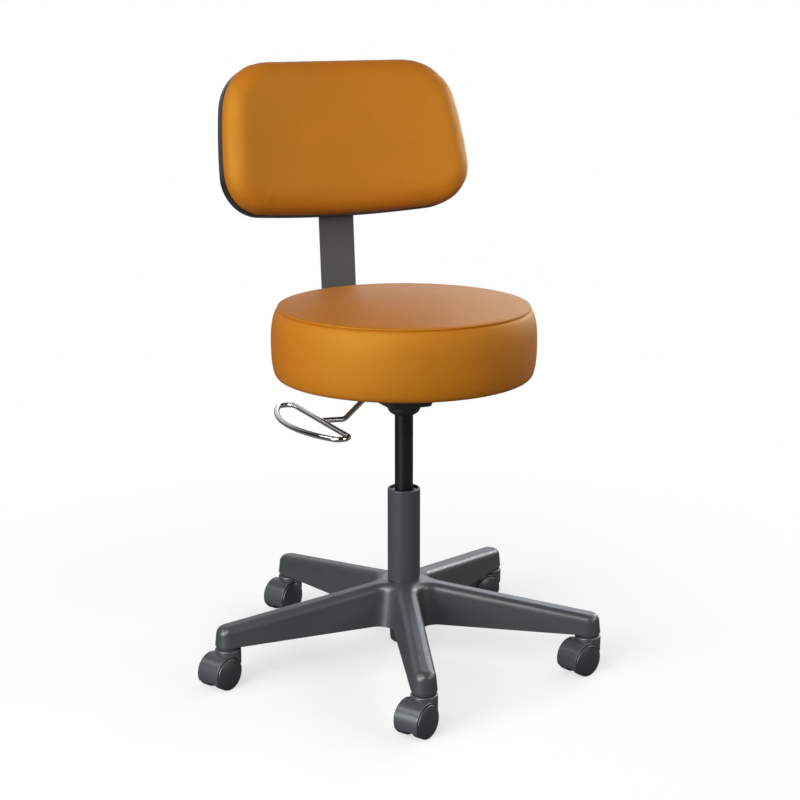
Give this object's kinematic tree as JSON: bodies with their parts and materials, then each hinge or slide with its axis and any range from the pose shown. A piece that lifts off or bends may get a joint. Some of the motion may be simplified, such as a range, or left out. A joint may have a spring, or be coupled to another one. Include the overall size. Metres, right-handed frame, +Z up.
{
  "type": "swivel stool with backrest",
  "caption": "Height-adjustable swivel stool: round upholstered seat, padded backrest on an upright bar, gas-lift column, star base on hooded twin-wheel casters, wire release ring.",
  "frame": {"origin": "on the floor, straight under the lift column", "axes": "+Z up along the lift column, the sitter faces -Y with the backrest at +Y, +X to the sitter's left"},
  "size_m": [0.5916, 0.6299, 0.9026],
  "materials": {
    "base_plastic": "satin moulded grey",
    "tube_paint": "satin dark grey powder coat",
    "frame_paint": "satin dark grey powder coat",
    "column_black": "satin black",
    "socket_black": "satin black powder coat",
    "chrome_wire": "bright chrome",
    "steel": "bright zinc plate",
    "bushing_plastic": "black acetal",
    "bump_rubber": "black rubber",
    "seat_vinyl": "grained caramel vinyl",
    "foam": "open foam",
    "plywood": "plain plywood",
    "shell_plastic": "textured dark grey moulding",
    "knob_plastic": "black moulding",
    "caster_plastic": "satin dark grey moulding",
    "wheel_black": "gloss black moulding"
  },
  "bodies": {
    "base": {"base_spider": "base_plastic", "stand_tube": "tube_paint", "guide_bushing": "bushing_plastic", "lower_race": "steel", "ball_cage": "bushing_plastic", "bearing_balls": "steel", "caster_stems": "steel"},
    "spindle": {"piston_rod": "steel", "piston": "bushing_plastic", "upper_race": "steel", "rod_clip": "steel", "bump_stop": "bump_rubber"},
    "seat": {"pressure_tube": "column_black", "rod_guide": "bushing_plastic", "column_socket": "socket_black", "seat_pan": "socket_black", "lever_pin": "steel", "seat_board": "plywood", "seat_foam": "foam", "seat_top_panel": "seat_vinyl", "seat_side_band": "seat_vinyl", "seat_bolts": "steel", "seat_tee_nuts": "steel", "back_channel": "frame_paint"},
    "release_lever": {"lever_tongue": "steel", "release_wire": "chrome_wire"},
    "release_valve": {"release_pin": "steel"},
    "upright": {"back_upright": "frame_paint"},
    "depth_clamp": {"depth_knob": "knob_plastic", "depth_stud": "steel"},
    "backrest": {"back_sleeve": "knob_plastic", "back_shell": "shell_plastic", "back_board": "plywood", "back_foam": "foam", "back_cover": "seat_vinyl", "back_screws": "steel"},
    "height_clamp": {"height_knob": "knob_plastic", "height_stud": "steel"},
    "caster_1": {"caster_hood_1": "caster_plastic", "caster_axle_1": "steel"},
    "wheel_1_left": {"caster_wheel_1_left": "wheel_black"},
    "wheel_1_right": {"caster_wheel_1_right": "wheel_black"},
    "caster_2": {"caster_hood_2": "caster_plastic", "caster_axle_2": "steel"},
    "wheel_2_left": {"caster_wheel_2_left": "wheel_black"},
    "wheel_2_right": {"caster_wheel_2_right": "wheel_black"},
    "caster_3": {"caster_hood_3": "caster_plastic", "caster_axle_3": "steel"},
    "wheel_3_left": {"caster_wheel_3_left": "wheel_black"},
    "wheel_3_right": {"caster_wheel_3_right": "wheel_black"},
    "caster_4": {"caster_hood_4": "caster_plastic", "caster_axle_4": "steel"},
    "wheel_4_left": {"caster_wheel_4_left": "wheel_black"},
    "wheel_4_right": {"caster_wheel_4_right": "wheel_black"},
    "caster_5": {"caster_hood_5": "caster_plastic", "caster_axle_5": "steel"},
    "wheel_5_left": {"caster_wheel_5_left": "wheel_black"},
    "wheel_5_right": {"caster_wheel_5_right": "wheel_black"}
  },
  "joints": [
    {"name": "seat_swivel", "type": "hinge", "parent": "base", "child": "spindle", "pos_m": [0, 0, 0.03], "axis": [0, 0, 1], "continuous": true},
    {"name": "seat_lift", "type": "slide", "parent": "spindle", "child": "seat", "axis": [0, 0, 1], "range_m": [-0.089, 0.038]},
    {"name": "release", "type": "hinge", "parent": "seat", "child": "release_lever", "pos_m": [-0.028, 0, 0.4345], "axis": [0, 1, 0], "range_deg": [0, 6], "stiffness_Nm_per_rad": 20},
    {"name": "valve_stroke", "type": "slide", "parent": "seat", "child": "release_valve", "axis": [0, 0, -1], "range_m": [0, 0.0031]},
    {"name": "back_depth", "type": "slide", "parent": "seat", "child": "upright", "axis": [0, 1, 0], "range_m": [-0.025, 0.025]},
    {"name": "depth_clamp_turn", "type": "hinge", "parent": "seat", "child": "depth_clamp", "pos_m": [0, 0.123, 0.43], "axis": [0, 0, -1], "range_deg": [-360, 0]},
    {"name": "back_height", "type": "slide", "parent": "upright", "child": "backrest", "axis": [0, 0.264, 0.9645], "range_m": [-0.035, 0.05]},
    {"name": "height_clamp_turn", "type": "hinge", "parent": "backrest", "child": "height_clamp", "pos_m": [0, 0.28417, 0.77091], "axis": [0, 0.9645, -0.264], "range_deg": [-360, 0]},
    {"name": "caster_1_swivel", "type": "hinge", "parent": "base", "child": "caster_1", "pos_m": [0.22691, -0.17475, 0.056], "axis": [0, 0, 1], "continuous": true},
    {"name": "wheel_1_left_roll", "type": "hinge", "parent": "caster_1", "child": "wheel_1_left", "pos_m": [0.20856, -0.17966, 0.0245], "axis": [0.2588, -0.9659, 0], "continuous": true},
    {"name": "wheel_1_right_roll", "type": "hinge", "parent": "caster_1", "child": "wheel_1_right", "pos_m": [0.20856, -0.17966, 0.0245], "axis": [0.2588, -0.9659, 0], "continuous": true},
    {"name": "caster_2_swivel", "type": "hinge", "parent": "base", "child": "caster_2", "pos_m": [0.23631, 0.16181, 0.056], "axis": [0, 0, 1], "continuous": true},
    {"name": "wheel_2_left_roll", "type": "hinge", "parent": "caster_2", "child": "wheel_2_left", "pos_m": [0.21755, 0.15883, 0.0245], "axis": [0.1564, -0.9877, 0], "continuous": true},
    {"name": "wheel_2_right_roll", "type": "hinge", "parent": "caster_2", "child": "wheel_2_right", "pos_m": [0.21755, 0.15883, 0.0245], "axis": [0.1564, -0.9877, 0], "continuous": true},
    {"name": "caster_3_swivel", "type": "hinge", "parent": "base", "child": "caster_3", "pos_m": [-0.08086, 0.27475, 0.056], "axis": [0, 0, 1], "continuous": true},
    {"name": "wheel_3_left_roll", "type": "hinge", "parent": "caster_3", "child": "wheel_3_left", "pos_m": [-0.09756, 0.26568, 0.0245], "axis": [0.4772, -0.8788, 0], "continuous": true},
    {"name": "wheel_3_right_roll", "type": "hinge", "parent": "caster_3", "child": "wheel_3_right", "pos_m": [-0.09756, 0.26568, 0.0245], "axis": [0.4772, -0.8788, 0], "continuous": true},
    {"name": "caster_4_swivel", "type": "hinge", "parent": "base", "child": "caster_4", "pos_m": [-0.28629, 0.008, 0.056], "axis": [0, 0, 1], "continuous": true},
    {"name": "wheel_4_left_roll", "type": "hinge", "parent": "caster_4", "child": "wheel_4_left", "pos_m": [-0.30314, -0.00078, 0.0245], "axis": [0.4617, -0.887, 0], "continuous": true},
    {"name": "wheel_4_right_roll", "type": "hinge", "parent": "caster_4", "child": "wheel_4_right", "pos_m": [-0.30314, -0.00078, 0.0245], "axis": [0.4617, -0.887, 0], "continuous": true},
    {"name": "caster_5_swivel", "type": "hinge", "parent": "base", "child": "caster_5", "pos_m": [-0.09607, -0.26981, 0.056], "axis": [0, 0, 1], "continuous": true},
    {"name": "wheel_5_left_roll", "type": "hinge", "parent": "caster_5", "child": "wheel_5_left", "pos_m": [-0.11272, -0.27896, 0.0245], "axis": [0.4818, -0.8763, 0], "continuous": true},
    {"name": "wheel_5_right_roll", "type": "hinge", "parent": "caster_5", "child": "wheel_5_right", "pos_m": [-0.11272, -0.27896, 0.0245], "axis": [0.4818, -0.8763, 0], "continuous": true}
  ],
  "couplings": [
    {"joint": "valve_stroke", "follows": "release", "m_per_rad": 0.028}
  ]
}
